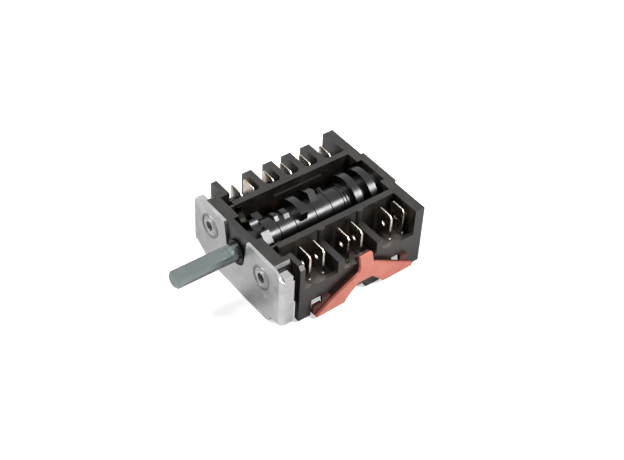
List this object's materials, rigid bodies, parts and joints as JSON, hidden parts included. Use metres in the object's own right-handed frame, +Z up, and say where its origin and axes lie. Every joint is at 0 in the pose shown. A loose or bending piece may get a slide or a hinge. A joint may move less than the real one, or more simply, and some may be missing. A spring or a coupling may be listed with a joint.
{
  "type": "rotary selector switch",
  "caption": "Rotary cam selector switch for a hotplate: galvanised front plate, D shaft, black body with push-on tabs and a salmon side clip.",
  "frame": {"origin": "on the shaft axis at the front face of the front plate", "axes": "-Y along the shaft towards the knob, +X right as seen from the front, +Z up"},
  "size_m": [0.0503, 0.0795, 0.0246],
  "materials": {
    "body_black": "dull moulded thermoset, slightly brown",
    "gloss_black": "glossy moulded plastic",
    "zinc_sheet": "galvanised sheet",
    "zinc_shaft": "zinc plated steel",
    "spring_steel": "bare spring steel",
    "tinned_brass": "tin plated brass strip",
    "silver": "silver contact facing",
    "bronze_strip": "bare bronze strip",
    "salmon_plastic": "coloured moulded plastic"
  },
  "bodies": {
    "base": {"body_moulding": "body_black", "front_block": "body_black", "contact_cover": "body_black", "front_plate": "zinc_sheet", "detent_spring": "spring_steel", "side_clip": "salmon_plastic", "terminal_right_1": "tinned_brass", "terminal_right_2": "tinned_brass", "terminal_right_3": "tinned_brass", "terminal_right_4": "tinned_brass", "terminal_right_5": "tinned_brass", "terminal_right_6": "tinned_brass", "terminal_left_1": "tinned_brass", "terminal_left_2": "tinned_brass", "terminal_left_3": "tinned_brass", "terminal_left_4": "tinned_brass", "terminal_left_5": "tinned_brass", "terminal_left_6": "tinned_brass", "fixed_contact_1": "silver", "fixed_contact_2": "silver", "fixed_contact_3": "silver", "fixed_contact_4": "silver", "fixed_contact_5": "silver", "fixed_contact_6": "silver"},
    "rotor": {"shaft": "zinc_shaft", "cam_drum": "gloss_black", "retaining_ring": "spring_steel"},
    "contact_1": {"contact_spring_1": "bronze_strip", "moving_contact_1": "silver"},
    "contact_2": {"contact_spring_2": "bronze_strip", "moving_contact_2": "silver"},
    "contact_3": {"contact_spring_3": "bronze_strip", "moving_contact_3": "silver"},
    "contact_4": {"contact_spring_4": "bronze_strip", "moving_contact_4": "silver"},
    "contact_5": {"contact_spring_5": "bronze_strip", "moving_contact_5": "silver"},
    "contact_6": {"contact_spring_6": "bronze_strip", "moving_contact_6": "silver"}
  },
  "joints": [
    {"name": "rotor_turn", "type": "hinge", "parent": "base", "child": "rotor", "pos_m": [0, 0, 0], "axis": [0, -1, 0], "continuous": true, "deforming": ["detent_spring"]},
    {"name": "contact_1_swing", "type": "hinge", "parent": "base", "child": "contact_1", "pos_m": [-0.01255, 0.0121, -0.01], "axis": [0, -1, 0], "range_deg": [0, 10.5]},
    {"name": "contact_2_swing", "type": "hinge", "parent": "base", "child": "contact_2", "pos_m": [-0.01255, 0.017, -0.01], "axis": [0, 1, 0], "range_deg": [-10.5, 0]},
    {"name": "contact_3_swing", "type": "hinge", "parent": "base", "child": "contact_3", "pos_m": [-0.01255, 0.0232, -0.01], "axis": [0, 1, 0], "range_deg": [-10.5, 0]},
    {"name": "contact_4_swing", "type": "hinge", "parent": "base", "child": "contact_4", "pos_m": [-0.01255, 0.0309, -0.01], "axis": [0, 1, 0], "range_deg": [-10.5, 0]},
    {"name": "contact_5_swing", "type": "hinge", "parent": "base", "child": "contact_5", "pos_m": [-0.01255, 0.0435, -0.01], "axis": [0, 1, 0], "range_deg": [-10.5, 0]},
    {"name": "contact_6_swing", "type": "hinge", "parent": "base", "child": "contact_6", "pos_m": [-0.01255, 0.0493, -0.01], "axis": [0, 1, 0], "range_deg": [-10.5, 0]}
  ]
}
